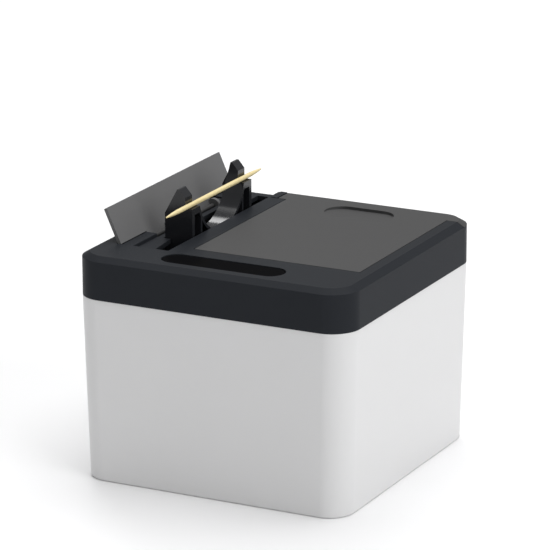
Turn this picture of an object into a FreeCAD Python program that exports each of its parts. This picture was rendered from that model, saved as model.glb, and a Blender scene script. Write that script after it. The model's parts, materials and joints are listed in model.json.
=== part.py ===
import FreeCAD, Part
import math
import os

os.makedirs("parts", exist_ok=True)

Vec = FreeCAD.Vector

# All sizes are in millimetres. X runs to the right, Y to the back and Z up, with the origin under the middle.

# Toothpicks
pick_length = 65.0
pick_radius = 0.8
pick_point = 7.0
pick_tip_radius = 0.2
pick_end_gap = 2.0
pick_behind_middle = 0.5
pick_side_gap = 0.1
pick_seat_gap = 0.02
stack_gap = 0.1
stack_rise_ratio = 0.9
stack_rows = 3
stack_fewer_count = 9
stack_gate_gap = 1.2
stack_wall_gap = 2.0
stack_sway = 0.6

# Cap
recess_from_side = 6.8
rail_width = 6.1
lid_width = 57.6
lid_from_side = 6.0
front_strip = 16.75
lid_bar_length = 9.75
cap_height = 13.8
cap_corner = 9.5
cap_chamfer_in = 2.5
cap_chamfer_drop = 1.5
cap_wall = 2.2
cap_deck = 3.0
plug_depth = 3.5
plug_wall = 1.6
plug_clearance = 0.2
plug_taper = 0.15
cut_past = 1.0
sink = 0.1

# Body
body_height = 59.7
body_step = 0.3
body_draft_x = 1.48
body_draft_y = 0.7
body_corner = 8.3
body_inner_corner = 1.0
body_wall = 2.0
body_foot_edge = 0.5
foot_rim = 5.4
foot_height = 3.0
floor_thick = 2.0

# Divider rail, slot and flap recess in the top of the cap
rail_lug_width = 3.1
rail_lug_inset = 0.8
rail_lug_rise = 0.2
slot_front_width = 6.4
slot_past_bar = 4.6
recess_run_out = 2.15
recess_run_drop = 0.75
slot_fork_side_width = 8.0
channel_width = 5.8
channel_drop = 1.45
trench_drop = 5.3
trench_wall = 1.2
ledge_from_recess = 1.5
ledge_width = 4.0
ledge_drop = 0.3
ledge_edge = 0.3
ledge_fork_gap = 0.2
ledge_gear_room = 5.8
hinge_block_side = 0.4

# Lid
lid_step_back = 5.1
lid_thick = 1.6
lid_gap = 0.25
lid_seat_gap = 0.1
pull_length = 23.5
pull_width = 12.0
pull_depth = 0.9
pull_front_depth = 0.05
pull_from_back = 14.55
mouth_shelf = 2.6
mouth_right_shelf = 7.0
mouth_front_shelf = 1.7
mouth_back_shelf = 5.15
runner_length = 8.0
runner_thick = 1.2
runner_lip = 1.6
runner_gap = 0.3

# Lift fork
fork_gap = 0.4
fork_width = 9.8
fork_body_width = 6.8
fork_length = 40.7
fork_behind_middle = 2.65
fork_flange = 1.6
fork_shoulder_above_top = 8.9
fork_tip_above_shoulder = 6.0
fork_notch = 2.5
fork_notch_wall = 3.5
fork_tip_flat = 0.7
fork_tip_slope_ratio = 0.85
fork_slope_start_above_top = 6.7
fork_inner_slope_start = 0.1
fork_web = 1.3
fork_shoulder_thick = 2.1
fork_inner_wall = 1.0
fork_wall_from_saddle = 2.2
fork_bar = 3.0
fork_middle_bar = 1.2
fork_middle_bar_ratio = 0.45
saddle_from_end = 4.5
saddle_above_shoulder = 4.7
saddle_strap = 1.0
fork_well_gap = 0.4
fork_well_wall = 2.1
fork_below_tray = 16.8
fork_floor_gap = 1.5

# Lift guides
guide_gap = 0.15
guide_cheek = 1.6
guide_back = 2.0
guide_reach_gap = 0.4
guide_top_gap = 0.5
guide_foot_length = 7.0
guide_foot_thick = 1.5

# Lift rack and motor drive
drive_module = 0.8
drive_teeth = 12
drive_backlash = 0.12
drive_angle_deg = 25
rack_width = 5.0
rack_from_fork_front = 4.0
rack_base = 3.0
rack_lead = 2.1
rack_end = 1.6
rack_relief = 0.4
pinion_width = 6.0
pinion_gap = 0.5
shaft_radius = 1.5
shaft_reach = 1.0
bush_radius = 2.6
bush_length = 3.0
bush_gap = 0.4
bush_clearance = 0.05
gearbox_length = 9.0
gearbox_bore_depth = 1.4
motor_guide_gap = 3.35
motor_width = 10.0
motor_height = 12.0
motor_corner_reach = 0.6
motor_cap_length = 1.6
motor_cap_step = 0.4
motor_hub_radius = 2.4
motor_hub_length = 0.8
bracket_thick = 1.4
bracket_ear = 5.0
bracket_ear_inset = 2.5
bracket_gap = 0.1
bracket_side = 1.0
bracket_guide_gap = 0.3
bracket_hub_room = 1.4
bracket_screw_length = 3.2

# Flap
flap_thick = 1.1
flap_gap = 0.4
flap_open_deg = 114.3
flap_end_gap = 0.3
flap_side_from_recess = 6.0
flap_tab_from_recess = 1.1
flap_tab_front_gap = 0.3
flap_tab_past_fork = 2.4
hinge_from_recess = 3.46
hinge_below_top = 2.04
flap_pin_radius = 0.8
flap_pin_clearance = 0.05
flap_pin_front_gap = 0.3
flap_pin_back_gap = 0.4
pin_bore_front_wall = 1.2
pin_bore_back_wall = 0.8
flap_ear_radius = 2.3
flap_ear_thick = 1.4
flap_ear_inset = 11.6
flap_ear_back_inset = 0.1
flap_ear_top_drop = 0.3
flap_teeth = 12
flap_module = 0.35
flap_backlash = 0.1
flap_gear_width = 2.6
flap_gear_gap = 0.3
flap_hub_radius = 1.4

# Flap slider, moved sideways by a sloping track in the fork's rear flange
slider_thick = 1.6
slider_gap = 1.9
slider_width = 12.0
slider_neck_edge = 2.6
slider_neck_start = 1.5
slider_shoulder_start = 2.0
slider_rack_left = 2.4
slider_rack_right = 2.2
slider_rack_depth = 4.5
slider_shelf_top = 2.0
slider_plate_drop = 4.4
slider_cut_gap = 0.3
slider_rack_room = 5.0
slider_rack_roof = 2.0
follower_radius = 0.8
follower_below_chassis = 2.5
follower_inset = 1.7
follower_pad_left = 4.2
follower_pad_right = 1.5
follower_pad_low = 2.0
follower_pad_high = 2.5
track_clearance = 0.1
track_past = 0.5
slider_guide_radius = 1.0
slider_pin_side = 5.0
slider_pin_rise = 5.0
slider_pin_from_top = 2.5
slider_bracket_left = 12.5
slider_bracket_right = 1.0
slider_bracket_gap = 0.5
slider_bracket_thick = 1.6
slider_bracket_top_gap = 1.36
slider_foot_length = 7.0
slider_foot_thick = 1.5
slider_foot_hole_y = 5.6
slider_foot_hole_left = 10.5
slider_foot_hole_right = 3.0

# Chassis, posts and screws
chassis_below_tray = 6.3
chassis_thick = 2.0
chassis_margin = 1.2
chassis_opening_gap = 0.3
chassis_opening_past_rail = 0.4
chassis_opening_past_slider = 1.2
body_post_from_side = 12.3
body_post_from_end = 11.25
body_post_radius = 3.5
post_gap = 0.1
boss_radius = 6.0
boss_column_radius = 5.0
boss_hole_radius = 3.0
boss_drop = 0.8
boss_column_top = 12.4
boss_seat_z = 6.5
cap_post_from_side = 7.6
cap_post_from_end = 7.85
cap_post_radius = 2.2
thread_clearance = 0.05
screw_clearance = 0.2
screw_head_ratio = 1.9
screw_head_height_ratio = 1.2
screw_recess_ratio = 0.35
pilot_past = 1.0
body_screw_radius = 1.25
body_screw_clearance = 0.25
body_screw_length = 12.0
small_screw_radius = 0.9
small_screw_length = 7.0

# Hopper tray
tray_wall = 1.5
tray_right_step = 5.5
tray_front_step = 1.5
tray_back_step = 0.5
tray_step = 0.9
tray_slope_deg = 10.0
tray_gate = 2.8
tray_top_gap = 0.2
tray_flare_drop = 8.0
tray_flare_lip = 0.6
tray_flare_side = 1.0
tray_foot_radius = 2.5
tray_foot_from_rail = 12.2
tray_foot_from_right = 10.0
tray_foot_from_end = 9.5
tray_screw_bite = 4.5
tray_pilot_depth = 7.3

# Battery bay
cell_radius = 5.25
cell_length = 44.5
cell_nub_radius = 1.9
cell_nub_length = 1.0
cell_gap = 0.5
cell_side_gap = 0.5
cell_end_gap = 0.2
coil_room = 4.0
bay_ledge = 1.0
bay_roof_gap = 0.4
bay_wall = 1.5
bay_boss_wall = 3.9
bay_lip_width = 1.2
bay_lip_drop = 0.6
door_gap = 0.2
door_drop = 0.1
door_thick = 1.7
door_tab_width = 4.4
door_tab_reach = 1.4
door_tab_end_gap = 0.4
door_tab_root = 3.0
door_tab_thick = 0.7
door_tab_pitch = 10.1
latch_from_lip = 1.0
latch_width = 8.0
latch_gap = 0.3
latch_root = 4.0
latch_pad_thick = 1.0
latch_lip_gap = 0.1
latch_finger_thick = 1.2
latch_finger_rise = 1.0
latch_notch_width = 9.0
latch_notch_length = 4.6
latch_relief_width = 5.4
latch_relief_length = 1.9
grip_count = 4
grip_from_edge = 6.0
grip_pitch = 1.6
grip_width = 0.8
grip_depth = 0.3
contact_thick = 0.4
contact_margin = 0.75
contact_dimple_radius = 1.33
contact_dimple_height = 0.15
coil_turns = 3
coil_wire_radius = 0.3
coil_base_radius = 3.5
coil_top_radius = 2.5
coil_root = 0.15
coil_end_gap = 0.05

# Sensor window and boards
window_from_rail = 1.5
window_from_front = 10.45
window_length = 42.1
window_width = 9.7
window_thick = 1.3
window_recess = 0.2
window_gap = 0.1
window_ledge = 1.6
board_thick = 1.2
sensor_post_radius = 1.8
sensor_post_gap = 0.35
sensor_pilot_end = 0.5
sensor_board_drop = 5.2
sensor_board_margin = 2.2
sensor_board_width = 9.0
sensor_dome_radius = 1.5
sensor_dome_flange = 0.3
sensor_base_height = 1.0
sensor_stem_height = 1.6
sensor_pitch = 18.0
window_screw_length = 4.4
control_board_length = 38.0
control_board_width = 32.0
control_board_post_gap = 1.7
control_board_from_front = 11.75
control_board_hole_inset = 3.0
standoff_height = 6.0
standoff_radius = 2.0
board_screw_length = 6.0
chip_size = 9.0
chip_thick = 1.3
chip_gap = 0.2
chip_along_ratio = 0.55
chip_leg_count = 6
chip_leg_pitch = 1.5
chip_leg_reach = 1.2
chip_leg_width = 0.5
chip_leg_thick = 0.5
capacitor_from_left = 9.0
capacitor_from_front = 10.0
capacitor_height = 9.0
capacitor_radius = 3.2
capacitor_groove_from_board = 1.6
capacitor_groove_width = 0.6
capacitor_groove_depth = 0.2
connector_count = 3
connector_from_left = 9.0
connector_from_right = 10.0
connector_from_back = 4.0
connector_length = 7.2
connector_width = 4.8
connector_height = 5.0
connector_wall = 0.7
connector_front_wall = 1.0
connector_floor = 1.2
board_width = 9.0
gate_width = 6.0
gate_base = 1.6
gate_flag_gap = 1.0
gate_fork_gap = 0.9
gate_height = 5.0
gate_slit = 2.0
flag_thick = 0.8
flag_height = 3.0
flag_reach = 3.0
flag_above_bottom = 1.0
flag_left_of_follower = 0.6

# Outline of the cap, worked out from what lies side by side in it
recess_width = channel_width + fork_well_wall + fork_well_gap + fork_width + fork_gap
cap_width = recess_from_side + recess_width + rail_width + lid_width + lid_from_side
cap_depth = front_strip + pick_length + 2 * pick_end_gap + lid_bar_length
half_width = cap_width / 2
half_depth = cap_depth / 2

# Heights
top_z = body_height + cap_height
deck_z = top_z - cap_deck
floor_z = foot_height
floor_top_z = foot_height + floor_thick
channel_z = top_z - channel_drop
trench_z = top_z - trench_drop
hinge_z = top_z - hinge_below_top
ledge_z = top_z - ledge_drop
lid_z = top_z - lid_thick
seat_z = lid_z - lid_seat_gap
lift_room = top_z - floor_top_z - fork_floor_gap - fork_below_tray - fork_shoulder_above_top - tray_step
tray_depth = lift_room / 2
tray_low_z = top_z - tray_depth
tray_flare_z = top_z - tray_flare_drop
fork_stroke = fork_shoulder_above_top + tray_step + tray_depth
fork_hang = tray_depth + fork_below_tray
chassis_z = tray_low_z - chassis_below_tray
chassis_top_z = chassis_z + chassis_thick
guide_bottom = floor_top_z + fork_floor_gap
guide_top = trench_z - trench_wall - guide_top_gap
follower_z = chassis_z - follower_below_chassis

# Places from side to side
recess_left = recess_from_side - half_width
channel_edge = recess_left + channel_width
ledge_left = recess_left + ledge_from_recess
ledge_right = ledge_left + ledge_width
hinge_x = recess_left + hinge_from_recess
flap_side_edge = recess_left + flap_side_from_recess
flap_tab_edge = recess_left + flap_tab_from_recess
rail_left = recess_left + recess_width
rail_right = rail_left + rail_width
lug_right = rail_left + rail_lug_width
lid_right = half_width - lid_from_side
mouth_left = rail_right + mouth_shelf
mouth_right = lid_right - mouth_right_shelf
tray_right = lid_right - tray_right_step
window_x = rail_left + window_from_rail + window_length / 2
body_post_x = half_width - body_post_from_side
cap_post_x = half_width - cap_post_from_side

# Places from front to back
bar_front = half_depth - lid_bar_length
slot_back = bar_front
slot_front = slot_back - pick_length - 2 * pick_end_gap
slot_middle = (slot_front + slot_back) / 2
pick_y = slot_middle + pick_behind_middle
lid_front = slot_front + lid_step_back
mouth_front = lid_front + mouth_front_shelf
mouth_back = half_depth - mouth_back_shelf
tray_front = slot_front + tray_front_step
tray_back = slot_back - tray_back_step
window_y = window_from_front - half_depth
body_post_y = half_depth - body_post_from_end
cap_post_y = half_depth - cap_post_from_end
fork_middle = slot_middle + fork_behind_middle
fork_front = fork_middle - fork_length / 2
fork_back = fork_front + fork_length
front_ledge_back = fork_front - ledge_fork_gap
rear_ledge_front = fork_back + ledge_gear_room

# Lift fork and its toothpick
fork_right = rail_left - fork_gap
fork_left = fork_right - fork_width
fork_body_left = fork_right - fork_body_width
shoulder_z = top_z + fork_shoulder_above_top
tip_z = shoulder_z + fork_tip_above_shoulder
fork_bottom = top_z - fork_hang
saddle_z = shoulder_z + saddle_above_shoulder
saddle_radius = fork_length / 2 - saddle_from_end
notch_x = fork_right - fork_notch
well_left = fork_left - fork_well_gap
pick_x = notch_x + pick_radius + pick_side_gap
pick_z = shoulder_z + pick_radius + pick_seat_gap
stack_pitch = 2 * pick_radius + stack_gap

# Lift rack and motor drive
drive_radius = drive_module * drive_teeth / 2
drive_tip_radius = drive_radius + drive_module
rack_pitch_x = fork_body_left - rack_base - drive_module
rack_front = fork_front + rack_from_fork_front
pinion_x = rack_pitch_x - drive_radius
pinion_z = fork_bottom + rack_lead
rack_top_z = pinion_z + fork_stroke + rack_end
rack_tip_x = rack_pitch_x - drive_module
pinion_front = rack_front + (rack_width - pinion_width) / 2
gearbox_front = pinion_front + pinion_width + pinion_gap
motor_front = gearbox_front + gearbox_length
motor_back = fork_back - fork_flange - guide_gap - guide_cheek - motor_guide_gap

# Flap and its drive
flap_under_z = top_z - flap_thick
flap_free_edge = rail_left - flap_gap
flap_front = slot_front + flap_end_gap
flap_back = half_depth - cap_chamfer_in
flap_tab_front = front_ledge_back + flap_tab_front_gap
flap_tab_back = fork_back + flap_tab_past_fork
pin_bore_front = slot_front + pin_bore_front_wall
pin_bore_back = flap_back - pin_bore_back_wall
flap_gear_radius = flap_module * flap_teeth / 2
flap_gear_front = flap_tab_back + flap_gear_gap
flap_gear_back = flap_gear_front + flap_gear_width
flap_travel = flap_gear_radius * math.radians(flap_open_deg)
rack_pitch_z = hinge_z - flap_gear_radius
slider_front = fork_back + slider_gap
slider_back = slider_front + slider_thick
slider_bracket_top_z = rack_pitch_z - slider_rack_depth - slider_bracket_top_gap
follower_x = fork_right - follower_inset
flag_x = follower_x - flag_left_of_follower
flag_low_z = fork_bottom + flag_above_bottom
gate_back_y = fork_front - flag_reach - gate_flag_gap - gate_base

# Battery bay
bay_length = cell_length + cell_end_gap + coil_room + 2 * (contact_thick + bay_ledge)
bay_width = 4 * cell_radius + cell_gap + 2 * (cell_side_gap + bay_ledge)
bay_right = body_post_x
bay_left = bay_right - bay_length
bay_back = body_post_y - boss_hole_radius - bay_boss_wall
bay_front = bay_back - bay_width
bay_middle = (bay_front + bay_back) / 2
cell_z = floor_top_z + cell_side_gap + cell_radius
bay_roof_z = cell_z + cell_radius + bay_roof_gap
contact_size = 2 * (cell_radius - contact_margin)

# Control board
control_board_right = body_post_x - body_post_radius - control_board_post_gap
control_board_left = control_board_right - control_board_length
control_board_front = control_board_from_front - half_depth


def box(x0, x1, y0, y1, z0, z1):
    return Part.makeBox(x1 - x0, y1 - y0, z1 - z0, Vec(x0, y0, z0))


def rod(start, end, radius):
    axis = end.sub(start)
    return Part.makeCylinder(radius, axis.Length, start, axis)


def rod_z(x, y, z0, z1, radius):
    return rod(Vec(x, y, z0), Vec(x, y, z1), radius)


def rod_y(x, z, y0, y1, radius):
    return rod(Vec(x, y0, z), Vec(x, y1, z), radius)


def rod_x(y, z, x0, x1, radius):
    return rod(Vec(x0, y, z), Vec(x1, y, z), radius)


def prism(points, direction):
    outline = Part.makePolygon(points + [points[0]])
    return Part.Face(outline).extrude(direction)


def prism_x(points, x0, x1):
    return prism([Vec(x0, y, z) for y, z in points], Vec(x1 - x0, 0, 0))


def prism_y(points, y0, y1):
    return prism([Vec(x, y0, z) for x, z in points], Vec(0, y1 - y0, 0))


def prism_z(points, z0, z1):
    return prism([Vec(x, y, z0) for x, y in points], Vec(0, 0, z1 - z0))


def rounded_outline(half_x, half_y, radius, z):
    """Rounded rectangle about the middle, as one wire."""
    edges = []
    corners = [(1, 1, 0), (-1, 1, 90), (-1, -1, 180), (1, -1, 270)]
    ends = []
    for sign_x, sign_y, start in corners:
        centre = Vec(sign_x * (half_x - radius), sign_y * (half_y - radius), z)
        on_arc = []
        for turn in (start, start + 45, start + 90):
            angle = math.radians(turn)
            on_arc.append(centre.add(Vec(radius * math.cos(angle), radius * math.sin(angle), 0)))
        edges.append(Part.Arc(*on_arc).toShape())
        ends.append((on_arc[0], on_arc[2]))
    sides = []
    for index in range(4):
        sides.append(edges[index])
        sides.append(Part.makeLine(ends[index][1], ends[(index + 1) % 4][0]))
    return Part.Wire(sides)


def layered(outlines):
    return Part.makeLoft(outlines, True, True)


def stadium(x, y, length, width, z0, z1):
    """Pill shape that is long in X."""
    radius = width / 2
    reach = length / 2 - radius
    bar = box(x - reach, x + reach, y - radius, y + radius, z0, z1)
    ends = [rod_z(x + side * reach, y, z0, z1, radius) for side in (-1, 1)]
    return bar.fuse(ends).removeSplitter()


def join(shapes):
    return shapes[0].fuse(shapes[1:]).removeSplitter()


def cut(shape, tools):
    return shape.cut(tools)


def group(shapes):
    return Part.Compound(shapes)


def screw(x, y, seat_z, length, radius, up=True):
    """Pan-head screw with a cross recess, head below its seat if it points up."""
    head_radius = radius * screw_head_ratio
    head_height = radius * screw_head_height_ratio
    recess = radius * screw_recess_ratio
    shank = rod_z(0, 0, 0, length, radius)
    head = rod_z(0, 0, -head_height, 0, head_radius)
    arm = head_height
    slot = recess / 2
    cross = box(-arm, arm, -slot, slot, -head_height, -head_height + recess * 2)
    other = box(-slot, slot, -arm, arm, -head_height, -head_height + recess * 2)
    piece = shank.fuse(head).removeSplitter().cut([cross, other])
    if not up:
        piece.rotate(Vec(0, 0, 0), Vec(1, 0, 0), 180)
    piece.translate(Vec(x, y, seat_z))
    return piece


def body_outline(z, inset):
    """Outline of the tapering body at height z, moved in by inset."""
    share = 1 - z / body_height
    half_x = half_width - body_step - body_draft_x * share - inset
    half_y = half_depth - body_step - body_draft_y * share - inset
    return rounded_outline(half_x, half_y, max(body_corner - inset, body_inner_corner), z)


def cap_outline(z, inset):
    return rounded_outline(half_width - inset, half_depth - inset, cap_corner - inset, z)


def cap_block():
    low = cap_outline(body_height, 0)
    shoulder = cap_outline(top_z - cap_chamfer_drop, 0)
    top = cap_outline(top_z, cap_chamfer_in)
    return layered([low, shoulder, top])


def body_post_places():
    return [(sx * body_post_x, sy * body_post_y) for sx in (-1, 1) for sy in (-1, 1)]


def cap_post_places():
    return [(sx * cap_post_x, sy * cap_post_y) for sx in (-1, 1) for sy in (-1, 1)]


def tray_foot_places():
    left = rail_left + tray_foot_from_rail
    right = tray_right - tray_foot_from_right
    front = tray_front + tray_foot_from_end
    back = tray_back - tray_foot_from_end
    return [(x, y) for x in (left, right) for y in (front, back)]


def control_board_corners():
    inset = control_board_hole_inset
    left = control_board_left + inset
    right = control_board_right - inset
    front = control_board_front + inset
    back = control_board_front + control_board_width - inset
    return [(x, y) for x in (left, right) for y in (front, back)]


def body_shell():
    edge = body_outline(0, body_foot_edge)
    outer = layered([edge, body_outline(body_foot_edge, 0), body_outline(body_height, 0)])
    cavity = layered([body_outline(floor_top_z, body_wall), body_outline(body_height, body_wall)])
    under = layered([body_outline(0, foot_rim), body_outline(foot_height, foot_rim)])
    shell = outer.cut([cavity, under])
    added = []
    for x, y in body_post_places():
        added.append(rod_z(x, y, boss_drop, floor_top_z, boss_radius))
        added.append(rod_z(x, y, floor_top_z, boss_column_top, boss_column_radius))
    added.append(box(bay_left - bay_wall, bay_right + bay_wall, bay_front - bay_wall, bay_back + bay_wall,
                     floor_top_z, bay_roof_z + bay_wall))
    lip = bay_lip_width
    added.append(box(bay_left - lip, bay_right + lip, bay_front - lip, bay_back + lip,
                     floor_z - bay_lip_drop, floor_z))
    shell = join([shell] + added)
    removed = []
    for x, y in body_post_places():
        removed.append(rod_z(x, y, 0, boss_seat_z, boss_hole_radius))
        removed.append(rod_z(x, y, boss_seat_z, boss_column_top,
                             body_screw_radius + body_screw_clearance))
    removed.append(box(bay_left, bay_right, bay_front, bay_back, 0, floor_top_z))
    removed.append(box(bay_left + bay_ledge, bay_right - bay_ledge, bay_front + bay_ledge,
                       bay_back - bay_ledge, floor_z, bay_roof_z))
    tab_low = floor_top_z - 2 * door_tab_thick - door_gap
    for side in (-1, 1):
        middle = bay_middle + side * door_tab_pitch / 2
        half = door_tab_width / 2 + door_gap
        removed.append(box(bay_right, bay_right + door_tab_reach + door_tab_end_gap, middle - half,
                           middle + half, tab_low, floor_top_z))
    notch_right = bay_left - lip - latch_from_lip
    notch_left = notch_right - latch_notch_length
    half = latch_notch_width / 2
    removed.append(box(notch_left, notch_right, bay_middle - half, bay_middle + half, 0, floor_top_z))
    half = latch_relief_width / 2
    removed.append(box(notch_left - latch_relief_length, notch_left, bay_middle - half, bay_middle + half,
                       0, floor_top_z))
    return cut(shell, removed)


def battery_door():
    left = bay_left + door_gap
    right = bay_right - door_gap
    low = floor_z - door_drop
    plate = box(left, right, bay_front + door_gap, bay_back - door_gap, low, low + door_thick)
    pieces = [plate]
    tab_low = floor_top_z - 2 * door_tab_thick
    for side in (-1, 1):
        middle = bay_middle + side * door_tab_pitch / 2
        half = door_tab_width / 2
        pieces.append(box(right - door_tab_root, right + door_tab_reach, middle - half, middle + half,
                          tab_low, tab_low + door_tab_thick))
    half = latch_width / 2
    front = bay_middle - half
    back = bay_middle + half
    notch_right = bay_left - bay_lip_width - latch_from_lip
    finger_left = notch_right - latch_notch_length + latch_gap
    root = left + latch_root
    pad_low = low - latch_pad_thick
    pad_top = floor_z - bay_lip_drop - latch_lip_gap
    pieces.append(box(finger_left, root, front, back, pad_low, pad_top))
    pieces.append(box(left, root, front, back, pad_low, low))
    pieces.append(box(finger_left, finger_left + latch_finger_thick, front, back,
                      pad_low, floor_top_z + latch_finger_rise))
    door = join(pieces)
    grooves = []
    for index in range(grip_count):
        start = left + grip_from_edge + grip_pitch * index
        grooves.append(box(start, start + grip_width, front, back, low, low + grip_depth))
    return cut(door, grooves)


def cell_left_x():
    return bay_right - bay_ledge - contact_thick - cell_length - cell_end_gap


def cell_places():
    offset = cell_radius + cell_gap / 2
    return [bay_middle - offset, bay_middle + offset]


def battery_cell(y):
    left = cell_left_x()
    can_right = left + cell_length - cell_nub_length
    can = rod_x(y, cell_z, left, can_right, cell_radius)
    nub = rod_x(y, cell_z, can_right, can_right + cell_nub_length, cell_nub_radius)
    return join([can, nub])


def arc_from_tangent(start, tangent, end):
    """Arc that leaves start along tangent and reaches end."""
    chord = end.sub(start)
    along = Vec(chord).normalize()
    lean = tangent.dot(along)
    side = tangent.sub(along * lean).normalize()
    half_turn = math.acos(max(-1.0, min(1.0, lean)))
    middle = (start + end) * 0.5 + side * (chord.Length / 2 * math.tan(half_turn / 2))
    return Part.Arc(start, middle, end).toShape()


def biarc(start, start_tangent, end, end_tangent):
    span = end.sub(start)
    total = start_tangent.add(end_tangent)
    spread = 2 * (1 - start_tangent.dot(end_tangent))
    lead = span.dot(total)
    reach = (math.sqrt(lead * lead + 2 * spread * span.dot(span)) - lead) / spread
    first = start.add(start_tangent * reach)
    second = end.sub(end_tangent * reach)
    joint = (first + second) * 0.5
    joint_tangent = second.sub(first).normalize()
    return [arc_from_tangent(start, start_tangent, joint), arc_from_tangent(joint, joint_tangent, end)]


def coil_point(base, length, share):
    """Point and direction of the coil's middle line, share being 0 at its base and 1 at its end."""
    angle = 2 * math.pi * coil_turns * share
    radius = coil_base_radius + (coil_top_radius - coil_base_radius) * share
    per_radian = 1 / (2 * math.pi * coil_turns)
    slope = (coil_top_radius - coil_base_radius) * per_radian
    place = base.add(Vec(length * share, radius * math.cos(angle), radius * math.sin(angle)))
    tangent = Vec(length * per_radian,
                  slope * math.cos(angle) - radius * math.sin(angle),
                  slope * math.sin(angle) + radius * math.cos(angle)).normalize()
    return place, tangent


def coil(base, length):
    """Tapering coil along X, wound in quarter turns, as one tube."""
    steps = coil_turns * 4
    places = [coil_point(base, length, index / steps) for index in range(steps + 1)]
    edges = []
    for before, after in zip(places, places[1:]):
        edges += biarc(before[0], before[1], after[0], after[1])
    path = Part.Wire(edges)
    section = Part.Wire(Part.makeCircle(coil_wire_radius, places[0][0], places[0][1]))
    return path.makePipeShell([section], True, False)


def coil_self_gap(length):
    """Least clear distance from one turn of the coil to the next, from points along its middle line."""
    per_turn = 72
    steps = coil_turns * per_turn
    points = [coil_point(Vec(0, 0, 0), length, index / steps)[0] for index in range(steps + 1)]
    least = length
    for index, point in enumerate(points):
        for other in points[index + per_turn // 2:]:
            least = min(least, point.distanceToPoint(other))
    return least - 2 * coil_wire_radius


def contact_springs():
    """Coil contacts at the left end of the bay, each on its plate."""
    plate_x = bay_left + bay_ledge
    start_x = plate_x + contact_thick + coil_root
    length = cell_left_x() - start_x - coil_wire_radius - coil_end_gap
    half = contact_size / 2
    pieces = []
    for y in cell_places():
        plate = box(plate_x, plate_x + contact_thick, y - half, y + half, cell_z - half, cell_z + half)
        pieces.append(plate.fuse(coil(Vec(start_x, y, cell_z), length)))
    print("contact spring, least gap to itself", round(coil_self_gap(length), 3))
    return group(pieces)


def contact_plates():
    right = bay_right - bay_ledge
    half = contact_size / 2
    plates = []
    for y in cell_places():
        plate = box(right - contact_thick, right, y - half, y + half, cell_z - half, cell_z + half)
        dimple = rod_x(y, cell_z, right - contact_thick - contact_dimple_height, right - contact_thick,
                       contact_dimple_radius)
        plates.append(join([plate, dimple]))
    return group(plates)


def body_screws():
    return group([screw(x, y, boss_seat_z, body_screw_length, body_screw_radius)
                  for x, y in body_post_places()])


def chassis_opening():
    left = fork_left - guide_gap - guide_back - chassis_opening_gap
    right = rail_left + chassis_opening_past_rail
    front = fork_front - guide_gap - guide_cheek - chassis_opening_gap
    back = slider_back + chassis_opening_past_slider
    return box(left, right, front, back, chassis_z, chassis_top_z)


def chassis():
    """Plate across the body with posts down to the body and a mount for every mechanism piece."""
    inset = body_wall + chassis_margin
    plate = layered([body_outline(chassis_z, inset), body_outline(chassis_top_z, inset)])
    posts = [rod_z(x, y, boss_column_top + post_gap, chassis_z, body_post_radius)
             for x, y in body_post_places()]
    standoffs = [rod_z(x, y, chassis_z - standoff_height, chassis_z, standoff_radius)
                 for x, y in control_board_corners()]
    frame = join([plate] + posts + standoffs)
    removed = [chassis_opening()]
    pilot = body_screw_radius + thread_clearance
    small_pilot = small_screw_radius + thread_clearance
    for x, y in body_post_places():
        removed.append(rod_z(x, y, boss_column_top, boss_seat_z + body_screw_length + pilot_past, pilot))
    for x, y in cap_post_places():
        removed.append(rod_z(x, y, chassis_z, chassis_top_z, small_screw_radius + screw_clearance))
    for x, y in tray_foot_places():
        removed.append(rod_z(x, y, chassis_z, chassis_top_z, small_screw_radius + screw_clearance))
    for x, y in control_board_corners():
        removed.append(rod_z(x, y, chassis_z - standoff_height, chassis_z, small_pilot))
    for x, y in guide_foot_places() + bracket_ear_places() + slider_foot_places():
        removed.append(rod_z(x, y, chassis_z, chassis_top_z, small_pilot))
    return cut(frame, removed)


def cap_screws():
    return group([screw(x, y, chassis_z, small_screw_length + chassis_thick, small_screw_radius)
                  for x, y in cap_post_places()])


def tray_floor_z(x):
    return tray_low_z + (x - rail_left) * math.tan(math.radians(tray_slope_deg))


def hopper_tray():
    """Open hopper whose floor slopes down to a gate beside the fork."""
    top = deck_z - tray_top_gap
    left = rail_left
    right = tray_right + tray_wall
    front = tray_front - tray_wall
    back = tray_back + tray_wall
    high = tray_floor_z(right)
    outer = prism_y([(left, tray_low_z - tray_wall), (right, high - tray_wall), (right, top), (left, top)],
                    front, back)
    inner_left = left + tray_wall
    inner = prism_y([(inner_left, tray_floor_z(inner_left)), (tray_right, tray_floor_z(tray_right)),
                     (tray_right, top), (inner_left, top)], tray_front, tray_back)
    gate = prism_y([(left, tray_low_z), (inner_left, tray_floor_z(inner_left)),
                    (inner_left, tray_low_z + tray_gate), (left, tray_low_z + tray_gate)],
                   tray_front, tray_back)
    tray = outer.cut([inner, gate])
    flare_back = mouth_back - lid_gap
    flare_left = mouth_left
    flare_right = mouth_right
    rise = top - tray_flare_z
    flare = prism_x([(tray_back, tray_flare_z), (back + rise, top - tray_flare_lip), (back + rise, top),
                     (tray_back + sink, top)], flare_left - tray_flare_side, flare_right + tray_flare_side)
    throat = prism_x([(tray_back, tray_flare_z), (flare_back, top), (tray_back, top)], flare_left, flare_right)
    clear = box(flare_left, flare_right, tray_front, tray_back, tray_flare_z, top)
    tray = join([tray, flare]).cut([throat, clear])
    feet = []
    for x, y in tray_foot_places():
        feet.append(rod_z(x, y, chassis_top_z, tray_floor_z(x) - tray_wall / 2, tray_foot_radius))
    pilot = small_screw_radius + thread_clearance
    holes = [rod_z(x, y, chassis_top_z, chassis_top_z + tray_pilot_depth, pilot)
             for x, y in tray_foot_places()]
    tray = join([tray] + feet).cut([h.common(f) for h, f in zip(holes, feet)])
    return tray


def tray_screws():
    return group([screw(x, y, chassis_z, chassis_thick + tray_screw_bite, small_screw_radius)
                  for x, y in tray_foot_places()])


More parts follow.
